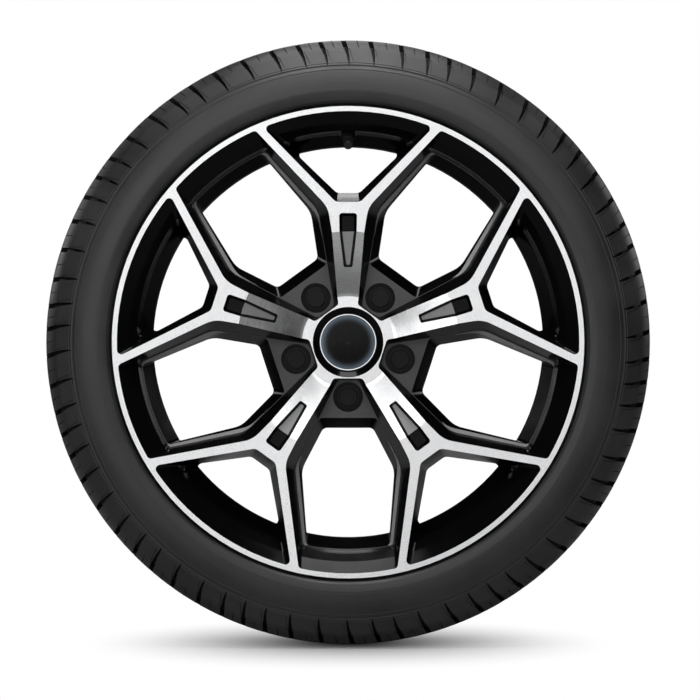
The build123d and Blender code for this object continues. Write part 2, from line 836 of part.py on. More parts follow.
def centre_cap():
    """Clip-in cap: body with legs, bright ring, domed disc and the spring wire behind the legs."""
    flange_radius = cap_bevel_radius - cap_clearance
    floor_z = cap_seat_z + cap_flange_thickness - cap_dish_depth
    top_z = cap_seat_z + cap_flange_thickness
    ring_outer = flange_radius - cap_rim_width
    ring_inner = ring_outer - cap_ring_width
    leg_outer = cap_bore_radius - cap_clearance
    leg_inner = leg_outer - cap_leg_thickness
    barb_z = cap_bore_z - cap_clearance
    leg_end_z = cap_bore_z - cap_leg_drop
    plate = turned(
        [
            (0, cap_seat_z),
            (flange_radius, cap_seat_z),
            (flange_radius, top_z),
            (ring_outer, top_z),
            (ring_outer, floor_z),
            (0, floor_z),
        ]
    )
    skirt = turned(
        [
            (leg_inner, floor_z),
            (leg_outer, floor_z),
            (leg_outer, barb_z),
            (leg_outer + cap_barb, barb_z - cap_barb),
            (leg_outer, leg_end_z),
            (leg_inner, leg_end_z),
        ]
    )
    reach = cap_recess_radius
    sector = make_face(
        Polyline(
            [Vector(0, 0, 0), polar(reach, cap_leg_angle / 2), polar(reach, -cap_leg_angle / 2)],
            close=True,
        )
    )
    sector = Pos(0, 0, leg_end_z) * extrude(sector, floor_z - leg_end_z)
    legs = [skirt & (Rotation(0, 0, k * 360 / cap_leg_count) * sector) for k in range(cap_leg_count)]
    wire_z = barb_z - cap_barb
    wire_radius = cap_wire_diameter / 2
    wire_path = leg_inner - wire_radius + cap_wire_groove
    wire_room = Pos(0, 0, wire_z) * Torus(wire_path, wire_radius + cap_wire_clearance)
    body = plate + legs - wire_room
    trim = ring(ring_inner, ring_outer, floor_z, top_z + cap_ring_height)
    dome_radius = ring_inner - cap_dome_gap
    edge_z = floor_z + cap_dome_edge
    dome_arc = (dome_radius**2 + cap_dome_rise**2) / (2 * cap_dome_rise)
    arc_height = edge_z + cap_dome_rise - dome_arc
    mid_radius = dome_radius / 2
    mid_z = arc_height + math.sqrt(dome_arc**2 - mid_radius**2)
    edges = [
        Edge.make_line((0, 0, edge_z + cap_dome_rise), (0, 0, floor_z)),
        Edge.make_line((0, 0, floor_z), (dome_radius, 0, floor_z)),
        Edge.make_line((dome_radius, 0, floor_z), (dome_radius, 0, edge_z)),
        Edge.make_three_point_arc(
            (dome_radius, 0, edge_z), (mid_radius, 0, mid_z), (0, 0, edge_z + cap_dome_rise)
        ),
    ]
    dome = revolve(make_face(edges), Axis.Z)
    wire = Pos(0, 0, wire_z) * Torus(wire_path, wire_radius)
    return {
        "centre_cap_body": body,
        "centre_cap_ring": trim,
        "centre_cap_dome": dome,
        "centre_cap_spring": wire,
    }


def hex_bar(across_flats, corner_radius, low_z, high_z):
    """Upright hexagon bar with its corners turned off."""
    outline = RegularPolygon(across_flats / 2, 6, major_radius=False)
    bar = Pos(0, 0, low_z) * extrude(outline, high_z - low_z)
    return bar & ring(0, corner_radius, low_z, high_z)


def nut_and_cover():
    """Cone-seat nut with a closed end, and the round cover pushed over it, on the bolt circle."""
    slope = math.tan(math.radians(nut_seat_half_angle))
    gap = nut_clearance / math.cos(math.radians(nut_seat_half_angle))
    cone_run = (nut_seat_radius - stud_hole_radius) / slope
    low_z = nut_seat_z - cone_run + nut_seat_lift
    low_radius = stud_hole_radius + nut_seat_lift * slope - gap
    collar_radius = nut_seat_radius - gap
    collar_z = nut_seat_z + nut_collar
    top_z = nut_seat_z + nut_hex_height
    cone = turned(
        [
            (0, low_z),
            (low_radius, low_z),
            (collar_radius, nut_seat_z),
            (collar_radius, collar_z),
            (0, collar_z),
        ]
    )
    bar = hex_bar(nut_across_flats, nut_corner_radius, nut_seat_z, top_z)
    bore = ring(0, nut_thread_bore / 2, low_z, top_z - nut_crown)
    nut = cone + bar - bore
    skirt_z = collar_z + cover_skirt_gap
    roof_z = top_z + cover_clearance
    cover = turned(
        [
            (0, skirt_z),
            (cover_radius, skirt_z),
            (cover_radius, roof_z + cover_face - cover_edge),
            (cover_radius - cover_edge, roof_z + cover_face),
            (0, roof_z + cover_face),
        ]
    )
    flats = nut_across_flats + 2 * cover_clearance
    cover = cover - hex_bar(flats, nut_corner_radius + cover_clearance, skirt_z, roof_z)
    place = Pos(0, bolt_circle / 2, 0)
    return place * nut, place * cover


def valve_pieces():
    """Snap-in tyre valve, drawn on its own axis from the tyre side to the tip."""
    neck = valve_hole_diameter / 2 - valve_hole_clearance
    foot = -valve_flange_length
    head_low = foot + valve_stem_head_cover
    head_high = head_low + valve_stem_head_length
    fit = valve_rubber_clearance
    tip_end = valve_rubber_end + valve_tip_length
    thread_low = tip_end - core_thread_length
    body = turned(
        [
            (valve_bore_radius + fit, foot),
            (valve_flange_radius - valve_flange_taper, foot),
            (valve_flange_radius, -valve_flange_taper),
            (valve_flange_radius, 0),
            (neck, 0),
            (neck, valve_rim_thickness),
            (valve_lip_radius, valve_rim_thickness),
            (valve_lip_radius, valve_rim_thickness + valve_lip_length),
            (valve_rubber_end_radius, valve_rubber_end),
            (valve_stem_radius + fit, valve_rubber_end),
            (valve_stem_radius + fit, head_high + fit),
            (valve_stem_head_radius + fit, head_high + fit),
            (valve_stem_head_radius + fit, head_low - fit),
            (valve_bore_radius + fit, head_low - fit),
        ]
    )
    stem = turned(
        [
            (valve_bore_radius, head_low),
            (valve_stem_head_radius, head_low),
            (valve_stem_head_radius, head_high),
            (valve_stem_radius, head_high),
            (valve_stem_radius, valve_rubber_end + fit),
            (valve_tip_radius, valve_rubber_end + fit),
            (valve_tip_radius, tip_end - valve_tip_chamfer),
            (valve_tip_radius - valve_tip_chamfer, tip_end),
            (core_thread_radius, tip_end),
            (core_thread_radius, thread_low),
            (core_bore_radius, thread_low - core_seat_run),
            (core_bore_radius, core_bore_bottom),
            (valve_bore_radius, core_bore_bottom),
        ]
    )
    plug_high = tip_end - core_recess
    plug_low = plug_high - core_plug_length
    plug_radius = core_thread_radius - core_clearance
    roof = plug_low - core_roof_drop
    core_body = turned(
        [
            (core_lip_bore, core_tube_bottom),
            (core_tube_radius, core_tube_bottom),
            (core_tube_radius, plug_low),
            (plug_radius, plug_low),
            (plug_radius, plug_high),
            (core_plug_bore, plug_high),
            (core_plug_bore, roof),
            (core_tube_bore, roof),
            (core_tube_bore, core_tube_bottom + core_lip),
            (core_lip_bore, core_tube_bottom + core_lip),
        ]
    )
    seal_high = plug_low - core_clearance
    seal_low = seal_high - core_seal_length
    core_seal = ring(core_tube_radius + core_clearance, plug_radius, seal_low, seal_high)
    pin_seal_high = core_tube_bottom - pin_seal_gap
    pin_seal_low = pin_seal_high - pin_seal_length
    pin_high = tip_end - core_pin_recess
    collar_high = roof - core_collar_gap
    collar_low = collar_high - core_collar_length
    core_pin = turned(
        [
            (0, pin_seal_low - pin_foot),
            (pin_foot_radius, pin_seal_low - pin_foot),
            (pin_foot_radius, pin_seal_low),
            (core_pin_radius, pin_seal_low),
            (core_pin_radius, collar_low),
            (core_collar_radius, collar_low),
            (core_collar_radius, collar_high),
            (core_pin_radius, collar_high),
            (core_pin_radius, pin_high),
            (0, pin_high),
        ]
    )
    pin_seal = ring(core_pin_radius + core_clearance, pin_seal_radius, pin_seal_low, pin_seal_high)
    spring_low = core_tube_bottom + core_lip + spring_wire_radius + spring_end_gap
    spring_height = collar_low - spring_wire_radius - spring_end_gap - spring_low
    path = Helix(spring_height / spring_turns, spring_height, spring_radius)
    wire = Plane(path @ 0, z_dir=path % 0) * Circle(spring_wire_radius)
    spring = Pos(0, 0, spring_low) * sweep(wire, path, is_frenet=True)
    cap_seal_low = tip_end + valve_cap_seal_gap
    cap_seal_high = cap_seal_low + valve_cap_seal_thickness
    cap_bore = valve_tip_radius + valve_cap_clearance
    roof_low = cap_seal_high + valve_cap_seal_gap
    cap_high = roof_low + valve_cap_roof
    cap_low = tip_end - valve_cap_grip
    cap = turned(
        [
            (cap_bore, cap_low),
            (valve_cap_radius, cap_low),
            (valve_cap_radius, cap_high - valve_cap_edge),
            (valve_cap_radius - valve_cap_edge, cap_high),
            (0, cap_high),
            (0, roof_low),
            (cap_bore, roof_low),
        ]
    )
    flute = ring(0, valve_cap_flute_radius, cap_low, cap_high)
    flute = Pos(valve_cap_radius + valve_cap_flute_radius - valve_cap_flute_sink, 0, 0) * flute
    cap = cap - [Rotation(0, 0, k * 360 / valve_cap_flutes) * flute for k in range(valve_cap_flutes)]
    cap_seal_radius = cap_bore - valve_cap_seal_clearance
    cap_seal = ring(valve_cap_seal_hole, cap_seal_radius, cap_seal_low, cap_seal_high)
    return {
        "valve_body": body,
        "valve_stem": stem,
        "valve_core_body": core_body,
        "valve_core_seal": core_seal,
        "valve_core_pin": core_pin,
        "valve_pin_seal": pin_seal,
        "valve_core_spring": spring,
        "valve_cap": cap,
        "valve_cap_seal": cap_seal,
    }


parts = {"alloy_wheel": alloy_wheel(), "tyre": tyre()}
parts.update(centre_cap())
nut, cover = nut_and_cover()
for number, shape in enumerate(at_pitch(nut, half_pitch), start=1):
    parts[f"lug_nut_{number}"] = shape
for number, shape in enumerate(at_pitch(cover, half_pitch), start=1):
    parts[f"nut_cover_{number}"] = shape
for name, shape in valve_pieces().items():
    parts[name] = on_valve(shape)

os.makedirs("parts", exist_ok=True)
for name, shape in parts.items():
    export_step(stand_up * shape, f"parts/{name}.step")
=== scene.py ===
"""Looks of a car wheel with its tyre: finishes, small moulded pieces, floor, light and camera.

Lengths are metres. The spin axis is Y, the street face looks towards -Y and +Z is up.
"""
import logging
import math
from collections.abc import Iterable
from dataclasses import dataclass, field
from enum import Enum
from functools import cached_property

import bmesh
import bpy
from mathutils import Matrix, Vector
from mathutils.bvhtree import BVHTree
from mathutils.interpolate import poly_3d_calc


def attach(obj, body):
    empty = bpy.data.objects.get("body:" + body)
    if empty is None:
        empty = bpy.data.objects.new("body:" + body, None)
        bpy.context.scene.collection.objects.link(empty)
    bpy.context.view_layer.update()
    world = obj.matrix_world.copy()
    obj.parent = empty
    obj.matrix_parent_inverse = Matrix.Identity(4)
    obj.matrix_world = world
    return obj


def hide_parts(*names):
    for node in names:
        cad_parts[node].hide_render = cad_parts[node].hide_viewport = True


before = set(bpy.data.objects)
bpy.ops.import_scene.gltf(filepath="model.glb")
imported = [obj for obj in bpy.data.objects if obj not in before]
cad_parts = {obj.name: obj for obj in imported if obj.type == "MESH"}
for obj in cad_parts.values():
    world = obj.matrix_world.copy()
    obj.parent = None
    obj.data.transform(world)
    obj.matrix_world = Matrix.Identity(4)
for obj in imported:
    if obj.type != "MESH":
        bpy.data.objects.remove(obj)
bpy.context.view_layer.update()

log = logging.getLogger("wheel")

MM = 0.001
FULL_TURN = 2 * math.pi
WHEEL_BODY = "wheel"

# Values between which most of one soft pattern lies, and most of the sum of two
PATTERN = (0.3, 0.7)
TWO_PATTERNS = (0.7, 1.3)
TWO_PATTERNS_WIDE = (0.6, 1.4)

Colour = tuple[float, float, float]
Spot = tuple[float, float, float]
Socket = bpy.types.NodeSocket


class Zone(Enum):
    """Areas of the wheel casting that get a finish of their own."""

    PAINT = 0
    TURNED_FACE = 1
    POCKET = 2
    FACET = 3
    HUB_PAD = 4


class Nodes:
    """Node tree of one material, with short calls that add and join nodes."""

    def __init__(self, material: bpy.types.Material) -> None:
        """Start an empty tree with a surface shader and an output.

        Args:
            material: the material to fill.
        """
        material.use_nodes = True
        self.tree = material.node_tree
        self.tree.nodes.clear()
        self.shader = self.tree.nodes.new("ShaderNodeBsdfPrincipled")
        output = self.tree.nodes.new("ShaderNodeOutputMaterial")
        self.tree.links.new(self.shader.outputs["BSDF"], output.inputs["Surface"])

    def feed(self, target: Socket, value: Socket | float | Colour) -> None:
        """Join a socket to another, or set it to a plain value.

        Args:
            target: the input to fill.
            value: an output to link, or a number or colour to set.
        """
        if isinstance(value, Socket):
            self.tree.links.new(value, target)
        else:
            target.default_value = value

    def set(self, **values: float | Colour) -> None:
        """Set inputs of the surface shader that are the same all over.

        Args:
            values: input names with _ for each space, and their values.
        """
        for name, value in values.items():
            socket = self.shader.inputs[name.replace("_", " ")]
            if isinstance(value, tuple):
                value = (*value, 1.0)
            socket.default_value = value

    def place(self) -> Socket:
        """Position on the object in metres."""
        return self.tree.nodes.new("ShaderNodeTexCoord").outputs["Object"]

    def math(self, operation: str, first: Socket | float, second: Socket | float = 0.0) -> Socket:
        """Result of one arithmetic step.

        Args:
            operation: Blender's name of the operation.
            first: first operand.
            second: second operand, where there is one.

        Returns:
            The value's socket.
        """
        node = self.tree.nodes.new("ShaderNodeMath")
        node.operation = operation
        self.feed(node.inputs[0], first)
        self.feed(node.inputs[1], second)
        return node.outputs[0]

    def axes(self) -> tuple[Socket, Socket, Socket]:
        """Split the position into its three parts.

        Returns:
            X, Y and Z in metres.
        """
        node = self.tree.nodes.new("ShaderNodeSeparateXYZ")
        self.feed(node.inputs[0], self.place())
        return node.outputs[0], node.outputs[1], node.outputs[2]

    def radius(self) -> Socket:
        """Work out how far a point lies from the spin axis.

        Returns:
            The distance in metres.
        """
        x, _, z = self.axes()
        squares = self.math("ADD", self.math("MULTIPLY", x, x), self.math("MULTIPLY", z, z))
        return self.math("SQRT", squares)

    def noise(self, size: float, detail: float = 3.0, stretch: Spot = (1.0, 1.0, 1.0)) -> Socket:
        """Soft random pattern from 0 to 1.

        Args:
            size: width of one cell in metres.
            detail: octaves of finer pattern.
            stretch: factor on the pattern's frequency along each axis.

        Returns:
            The pattern's value.
        """
        mapping = self.tree.nodes.new("ShaderNodeMapping")
        mapping.inputs["Scale"].default_value = [s / size for s in stretch]
        self.feed(mapping.inputs["Vector"], self.place())
        node = self.tree.nodes.new("ShaderNodeTexNoise")
        node.inputs["Scale"].default_value = 1.0
        node.inputs["Detail"].default_value = detail
        self.feed(node.inputs["Vector"], mapping.outputs[0])
        return node.outputs["Fac"]

    def rings(self, pitch: float, detail: float = 2.0) -> Socket:
        """Random rings about the spin axis, from 0 to 1.

        Args:
            pitch: mean width of a ring in metres.
            detail: octaves of finer rings.

        Returns:
            The pattern's value.
        """
        node = self.tree.nodes.new("ShaderNodeTexNoise")
        node.noise_dimensions = "1D"
        node.inputs["Scale"].default_value = 1.0
        node.inputs["Detail"].default_value = detail
        self.feed(node.inputs["W"], self.math("DIVIDE", self.radius(), pitch))
        return node.outputs["Fac"]

    def cells(self, size: float) -> Socket:
        """Random value for each small grain, from 0 to 1.

        Args:
            size: width of a grain in metres.

        Returns:
            The grain's value.
        """
        node = self.tree.nodes.new("ShaderNodeTexVoronoi")
        node.inputs["Scale"].default_value = 1.0 / size
        self.feed(node.inputs["Vector"], self.place())
        separate = self.tree.nodes.new("ShaderNodeSeparateColor")
        self.feed(separate.inputs[0], node.outputs["Color"])
        return separate.outputs[0]

    def spread(self, value: Socket, start: float, end: float, low: float, high: float) -> Socket:
        """Value carried from one range to another with soft ends.

        Args:
            value: what to carry over.
            start: value that gives low.
            end: value that gives high.
            low: result at start and before it.
            high: result at end and past it.

        Returns:
            The carried value.
        """
        node = self.tree.nodes.new("ShaderNodeMapRange")
        node.interpolation_type = "SMOOTHSTEP"
        for name, number in zip(("From Min", "From Max", "To Min", "To Max"), (start, end, low, high)):
            node.inputs[name].default_value = number
        self.feed(node.inputs["Value"], value)
        return node.outputs[0]

    def shade(self, factor: Socket, dark: Colour, light: Colour) -> Socket:
        """Colour between two colours.

        Args:
            factor: 0 gives dark and 1 gives light.
            dark: first colour.
            light: second colour.

        Returns:
            The mixed colour.
        """
        node = self.tree.nodes.new("ShaderNodeMix")
        node.data_type = "RGBA"
        self.feed(node.inputs["Factor"], factor)
        node.inputs["A"].default_value = (*dark, 1.0)
        node.inputs["B"].default_value = (*light, 1.0)
        return node.outputs["Result"]

    def tint(self, colour: Socket, amount: Socket) -> Socket:
        """Colour made darker.

        Args:
            colour: colour to darken.
            amount: factor on it.

        Returns:
            The darker colour.
        """
        node = self.tree.nodes.new("ShaderNodeVectorMath")
        node.operation = "SCALE"
        self.feed(node.inputs[0], colour)
        self.feed(node.inputs["Scale"], amount)
        return node.outputs[0]

    def bump(self, height: Socket, depth: float, under: Socket | None = None) -> Socket:
        """Surface normal with a relief.

        Args:
            height: relief from 0 to 1.
            depth: depth of the relief in metres.
            under: normal of a coarser relief below it.

        Returns:
            The normal.
        """
        node = self.tree.nodes.new("ShaderNodeBump")
        node.inputs["Strength"].default_value = 1.0
        node.inputs["Distance"].default_value = depth
        self.feed(node.inputs["Height"], height)
        if under is not None:
            self.feed(node.inputs["Normal"], under)
        return node.outputs["Normal"]

    def dress(self, colour: Socket, roughness: Socket, normal: Socket) -> None:
        """Join the three patterns that every finish has to the surface shader.

        Args:
            colour: base colour.
            roughness: roughness.
            normal: surface normal.
        """
        self.feed(self.shader.inputs["Base Color"], colour)
        self.feed(self.shader.inputs["Roughness"], roughness)
        self.feed(self.shader.inputs["Normal"], normal)


@dataclass(frozen=True)
class Finish:
    """A surface finish that makes its own material."""

    name: str

    def material(self) -> bpy.types.Material:
        """Make the material, or give the one that was made before.

        Returns:
            The finish as a Blender material.
        """
        label = f"{self.name}_finish"
        made = bpy.data.materials.get(label)
        if made is None:
            made = bpy.data.materials.new(label)
            self.fill(Nodes(made))
        return made

    def fill(self, nodes: Nodes) -> None:
        """Add the finish's own nodes.

        Args:
            nodes: empty tree of the new material.
        """
        raise NotImplementedError


@dataclass(frozen=True)
class TurnedMetal(Finish):
    """Bright metal cut on a lathe, with fine rings about the spin axis under a lacquer, and painted
    shade on the slope near the hub.
    """

    dark: Colour = (0.74, 0.745, 0.755)
    light: Colour = (0.86, 0.865, 0.87)
    smooth: float = 0.22
    rough: float = 0.36
    ring_pitch: float = 0.45 * MM
    ring_depth: float = 0.004 * MM
    ring_edge: float = 46.0 * MM
    dish_inner: float = 58.0 * MM
    dish_outer: float = 115.0 * MM
    # Factor on the colour at the inner end of the slope: painted shade
    dish_painted_shade: float = 0.5
    streak: float = 0.45
    lacquer: float = 0.25
    lacquer_rough: float = 0.12
    haze: float = 22.0 * MM

    def fill(self, nodes: Nodes) -> None:
        """Add rings, lathe streaks, lacquer and painted shade that darkens the slope towards the hub.

        Args:
            nodes: empty tree of the new material.
        """
        nodes.set(Metallic=1.0, Anisotropic=self.streak)
        nodes.set(Coat_Weight=self.lacquer, Coat_Roughness=self.lacquer_rough)
        rings = nodes.rings(self.ring_pitch)
        haze = nodes.noise(self.haze)
        tangent = nodes.tree.nodes.new("ShaderNodeTangent")
        tangent.direction_type = "RADIAL"
        tangent.axis = "Y"
        nodes.feed(nodes.shader.inputs["Tangent"], tangent.outputs[0])
        radius = nodes.radius()
        # Painted shade: the colour is darkened on the slope between hub ring and crease, darkest near
        # the hub, while the flat hub ring stays full bright
        slope = nodes.spread(radius, self.dish_inner, self.dish_outer, self.dish_painted_shade, 1.0)
        ring = nodes.spread(radius, self.ring_edge, self.dish_inner, 1.0, 0.0)
        dish = nodes.math("MAXIMUM", slope, ring)
        plain = nodes.shade(nodes.math("MULTIPLY", rings, haze), self.dark, self.light)
        nodes.dress(
            nodes.tint(plain, dish),
            nodes.spread(nodes.math("ADD", rings, haze), *TWO_PATTERNS_WIDE, self.smooth, self.rough),
            nodes.bump(rings, self.ring_depth),
        )


@dataclass(frozen=True)
class Paint(Finish):
    """Sprayed paint with a faint orange peel, fine flakes and a haze."""

    dark: Colour = (0.0012, 0.0012, 0.0013)
    light: Colour = (0.003, 0.003, 0.0032)
    smooth: float = 0.12
    rough: float = 0.2
    mirror: float = 0.1
    peel: float = 3.0 * MM
    peel_depth: float = 0.02 * MM
    flake: float = 0.35 * MM
    haze: float = 45.0 * MM

    def fill(self, nodes: Nodes) -> None:
        """Add orange peel, flakes and haze.

        Args:
            nodes: empty tree of the new material.
        """
        nodes.set(Specular_IOR_Level=self.mirror)
        peel = nodes.noise(self.peel)
        haze = nodes.noise(self.haze, detail=4.0)
        flakes = nodes.cells(self.flake)
        mean = nodes.math("MULTIPLY", nodes.math("ADD", flakes, haze), 0.5)
        nodes.dress(
            nodes.shade(mean, self.dark, self.light),
            nodes.spread(haze, *PATTERN, self.smooth, self.rough),
            nodes.bump(peel, self.peel_depth),
        )


@dataclass(frozen=True)
class TyreRubber(Finish):
    """Matt tyre rubber: moulded rings on the sides, a fine grain and a dusty bloom."""

    dark: Colour = (0.009, 0.009, 0.0092)
    light: Colour = (0.02, 0.02, 0.0204)
    smooth: float = 0.4
    rough: float = 0.56
    mirror: float = 0.45
    grain: float = 0.7 * MM
    grain_depth: float = 0.05 * MM
    ring_pitch: float = 2.2 * MM
    ring_depth: float = 0.07 * MM
    bloom: float = 60.0 * MM
    bloom_share: float = 0.7
    grain_share: float = 0.3
    dust: float = 0.02
    dust_rough: float = 0.6

    def fill(self, nodes: Nodes) -> None:
        """Add bloom, grain, rings and dust.

        Args:
            nodes: empty tree of the new material.
        """
        nodes.set(Specular_IOR_Level=self.mirror)
        nodes.set(Sheen_Weight=self.dust, Sheen_Roughness=self.dust_rough)
        bloom = nodes.noise(self.bloom, detail=5.0)
        grain = nodes.noise(self.grain, detail=2.0)
        rings = nodes.rings(self.ring_pitch)
        bloom_tone = nodes.math("MULTIPLY", bloom, self.bloom_share)
        grain_tone = nodes.math("MULTIPLY", grain, self.grain_share)
        tone = nodes.math("ADD", bloom_tone, grain_tone)
        relief = nodes.bump(grain, self.grain_depth, nodes.bump(rings, self.ring_depth))
        nodes.dress(
            nodes.shade(nodes.spread(tone, *PATTERN, 0.0, 1.0), self.dark, self.light),
            nodes.spread(nodes.math("ADD", bloom, grain), *TWO_PATTERNS, self.smooth, self.rough),
            relief,
        )


@dataclass(frozen=True)
class Moulded(Finish):
    """Moulded plastic or rubber with a fine spark-eroded grain."""

    dark: Colour = (0.008, 0.008, 0.0085)
    light: Colour = (0.016, 0.016, 0.0165)
    smooth: float = 0.32
    rough: float = 0.48
    mirror: float = 0.35
    grain: float = 0.3 * MM
    grain_depth: float = 0.03 * MM
    flow: float = 8.0 * MM

    def fill(self, nodes: Nodes) -> None:
        """Add grain and flow marks.

        Args:
            nodes: empty tree of the new material.
        """
        nodes.set(Specular_IOR_Level=self.mirror)
        grain = nodes.noise(self.grain, detail=2.0)
        flow = nodes.noise(self.flow)
        nodes.dress(
            nodes.shade(flow, self.dark, self.light),
            nodes.spread(nodes.math("ADD", grain, flow), *TWO_PATTERNS, self.smooth, self.rough),
            nodes.bump(grain, self.grain_depth),
        )


@dataclass(frozen=True)
class DomeFace(Finish):
    """Gloss face of the centre cap: near black, with a paler, bluer painted reflection near its outer
    border.
    """

    middle: Colour = (0.0075, 0.0075, 0.0078)
    # Colour of the painted reflection at the dome's outer border
    reflection_tint: Colour = (0.105, 0.135, 0.165)
    edge_start: float = 19.0 * MM
    edge_end: float = 28.6 * MM
    edge_blur: float = 0.8 * MM
    smooth: float = 0.18
    rough: float = 0.30
    mirror: float = 0.08
    haze: float = 9.0 * MM
    peel: float = 2.5 * MM
    peel_depth: float = 0.01 * MM

    def fill(self, nodes: Nodes) -> None:
        """Add the painted reflection near the outer border, haze and peel.

        Args:
            nodes: empty tree of the new material.
        """
        nodes.set(Specular_IOR_Level=self.mirror)
        haze = nodes.noise(self.haze)
        blur = nodes.math("MULTIPLY", haze, self.edge_blur)
        reach = nodes.math("ADD", nodes.radius(), blur)
        # Painted reflection: the colour turns paler and bluer towards the cap's outer border
        rim = nodes.spread(reach, self.edge_start, self.edge_end, 0.0, 1.0)
        nodes.dress(
            nodes.shade(nodes.math("MULTIPLY", rim, rim), self.middle, self.reflection_tint),
            nodes.spread(haze, *PATTERN, self.smooth, self.rough),
            nodes.bump(nodes.noise(self.peel), self.peel_depth),
        )


@dataclass(frozen=True)
class Metal(Finish):
    """Plain or plated metal with fine scratches."""

    dark: Colour = (0.70, 0.72, 0.75)
    light: Colour = (0.84, 0.86, 0.89)
    smooth: float = 0.06
    rough: float = 0.16
    scratch: float = 0.9 * MM
    scratch_depth: float = 0.004 * MM
    scratch_stretch: Spot = (1.0, 6.0, 1.0)
    tarnish: float = 12.0 * MM

    def fill(self, nodes: Nodes) -> None:
        """Add scratches and a faint tarnish.

        Args:
            nodes: empty tree of the new material.
        """
        nodes.set(Metallic=1.0)
        scratch = nodes.noise(self.scratch, stretch=self.scratch_stretch)
        tarnish = nodes.noise(self.tarnish)
        nodes.dress(
            nodes.shade(tarnish, self.dark, self.light),
            nodes.spread(scratch, *PATTERN, self.smooth, self.rough),
            nodes.bump(scratch, self.scratch_depth),
        )


SPRING_WIRE = Metal(
    "spring_wire",
    dark=(0.30, 0.30, 0.31),
    light=(0.45, 0.45, 0.46),
    smooth=0.25,
    rough=0.4,
)


def put_on(node: str, finish: Finish) -> None:
    """Give a node of the frame one finish all over.

    Args:
        node: name of the node.
        finish: finish to put on.
    """
    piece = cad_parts[node]
    piece.data.materials.clear()
    piece.data.materials.append(finish.material())
    log.info("%s: %s", node, finish.name)


@dataclass
class AlloyWheel:
    """The casting: rim, forked spokes and hub, painted and then turned bright on its face."""

    node: str = "alloy_wheel"
    hub_ring_radius: float = 48.0 * MM
    hub_ring_place: float = 93.5 * MM
    crease_radius: float = 115.0 * MM
    crease_place: float = 110.0 * MM
    lip_radius: float = 244.9 * MM
    lip_place: float = 112.5 * MM
    slot_depth: float = 6.5 * MM
    pocket_place: float = 78.0 * MM
    facet_place: float = 74.5 * MM
    facet_start: float = 118.0 * MM
    pad_place: float = 45.0 * MM
    near: float = 0.35 * MM
    facing: float = 0.9
    facet_facing: float = 0.3
    paint: Finish = Paint("black_paint")
    face: Finish = TurnedMetal("turned_face")
    pocket: Finish = Paint(
        "pocket_paint",
        dark=(0.06, 0.06, 0.061),
        light=(0.10, 0.10, 0.101),
        rough=0.4,
    )
    # Painted reflection: light grey on the slot floors and on the chamfer strips beside the pockets
    # stands in for reflections on the gloss black paint
    facet_reflection: Finish = Paint(
        "facet_painted_reflection",
        dark=(0.22, 0.22, 0.222),
        light=(0.33, 0.33, 0.332),
        rough=0.4,
        mirror=0.3,
    )
    pad: Finish = Metal(
        "bare_casting",
        dark=(0.42, 0.42, 0.43),
        light=(0.55, 0.55, 0.56),
        smooth=0.35,
        rough=0.5,
    )

    def face_place(self, radius: float) -> float:
        """Place of the turned face along the spin axis.

        Args:
            radius: distance from the spin axis.

        Returns:
            Distance from the rim's middle towards the street.
        """
        if radius <= self.hub_ring_radius:
            return self.hub_ring_place
        if radius <= self.crease_radius:
            inner, outer = self.hub_ring_radius, self.crease_radius
            low, high = self.hub_ring_place, self.crease_place
        else:
            inner, outer = self.crease_radius, self.lip_radius
            low, high = self.crease_place, self.lip_place
        return low + (high - low) * (radius - inner) / (outer - inner)

    def zone(self, centre: Vector, normal: Vector) -> Zone:
        """Area of the casting that a mesh face belongs to.

        Args:
            centre: middle of the mesh face.
            normal: its outward direction.

        Returns:
            The area.
        """
        place = -centre.y
        towards = -normal.y
        radius = math.hypot(centre.x, centre.z)
        if towards > self.facing:
            below = self.face_place(radius) - place
            if abs(below) < self.near or radius > self.lip_radius:
                return Zone.TURNED_FACE
            if abs(below - self.slot_depth) < self.near and radius < self.crease_radius:
                return Zone.FACET
            if abs(place - self.pocket_place) < self.near:
                return Zone.POCKET
        # Forward-facing strips beside the pockets get the painted reflection
        beside_pocket = self.facet_place < place < self.pocket_place and radius > self.facet_start
        if beside_pocket and towards > self.facet_facing:
            return Zone.FACET
        if towards < -self.facing and abs(place - self.pad_place) < self.near:
            return Zone.HUB_PAD
        return Zone.PAINT

    def dress(self) -> None:
        """Paint each area of the casting."""
        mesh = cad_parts[self.node].data
        mesh.materials.clear()
        for finish in (self.paint, self.face, self.pocket, self.facet_reflection, self.pad):
            mesh.materials.append(finish.material())
        counts = dict.fromkeys(Zone, 0)
        for polygon in mesh.polygons:
            zone = self.zone(polygon.center, polygon.normal)
            polygon.material_index = zone.value
            counts[zone] += 1
        log.info("%s: %s", self.node, {zone.name: count for zone, count in counts.items()})


@dataclass(frozen=True)
class Station:
    """One place along a shoulder groove, in millimetres at the top of the street half.

    Attributes:
        radius: distance from the spin axis.
        step: sideways step of the groove's middle.
        width: width of the groove.
        floor: place of the groove's floor along the spin axis.
    """

    radius: float
    step: float
    width: float
    floor: float


